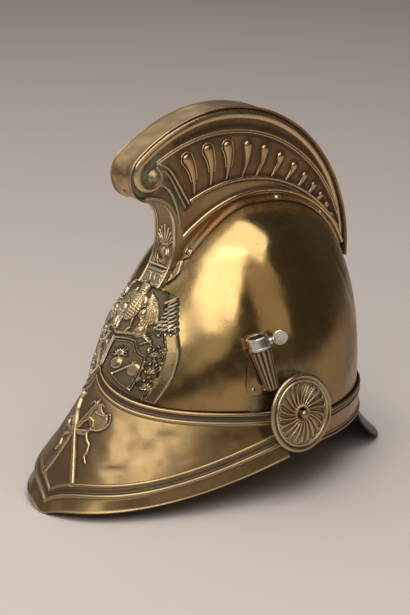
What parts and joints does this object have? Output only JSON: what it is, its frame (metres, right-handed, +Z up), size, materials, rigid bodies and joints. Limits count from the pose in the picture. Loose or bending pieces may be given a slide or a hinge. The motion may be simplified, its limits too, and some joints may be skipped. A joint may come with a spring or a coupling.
{
  "type": "firefighter helmet",
  "caption": "Brass firefighter helmet with a high curled crest, flared visor, rear neck flap, fluted side rosettes, plume socket and leather liner.",
  "frame": {"origin": "on the floor below the middle of the whole bounding box", "axes": "+Z up, -Y towards the visor's tip, +X towards the wearer's left, where the plume socket is"},
  "size_m": [0.2076, 0.3042, 0.273],
  "materials": {
    "skull_brass": "worn polish",
    "visor_brass": "worn polish",
    "guard_brass": "brown patina",
    "flap_brass": "dark patina",
    "crest_brass": "dark patina in the hollows",
    "strip_brass": "dented, brown patina",
    "ornament_brass": "dark hollows and bright edges",
    "rivet_brass": "satin",
    "rosette_brass": "dark hollows and bright edges",
    "socket_brass": "dark patina",
    "nickel": "worn nickel",
    "liner_leather": "aged, slightly glossy",
    "binding_leather": "aged",
    "lace": "matte"
  },
  "bodies": {
    "helmet": {"skull": "skull_brass", "visor": "visor_brass", "neck_guard": "guard_brass", "neck_flap": "flap_brass", "crest_left_side": "crest_brass", "crest_right_side": "crest_brass", "crest_top_strip": "strip_brass", "crest_front_column": "ornament_brass", "crest_rivets": "rivet_brass", "front_plate": "ornament_brass", "front_plate_pins": "rivet_brass", "visor_emblem": "ornament_brass", "visor_rivets": "rivet_brass", "neck_guard_rivets": "rivet_brass", "rosette_left": "rosette_brass", "rosette_right": "rosette_brass", "rosette_studs": "rivet_brass", "rosette_nuts": "rivet_brass", "plume_socket": "socket_brass", "socket_bracket": "socket_brass", "socket_collar": "nickel", "socket_rivets": "rivet_brass", "sweatband": "liner_leather", "liner_binding": "binding_leather", "liner_crown": "liner_leather", "liner_lace": "lace", "liner_rivets": "rivet_brass"},
    "clamp_screw": {"thumb_screw": "nickel"}
  },
  "joints": [
    {"name": "screw_turn", "type": "hinge", "parent": "helmet", "child": "clamp_screw", "pos_m": [0.08223, -0.01835, 0.11887], "axis": [0.3759, 0.8903, 0.2572], "range_deg": [-180, 180]}
  ]
}
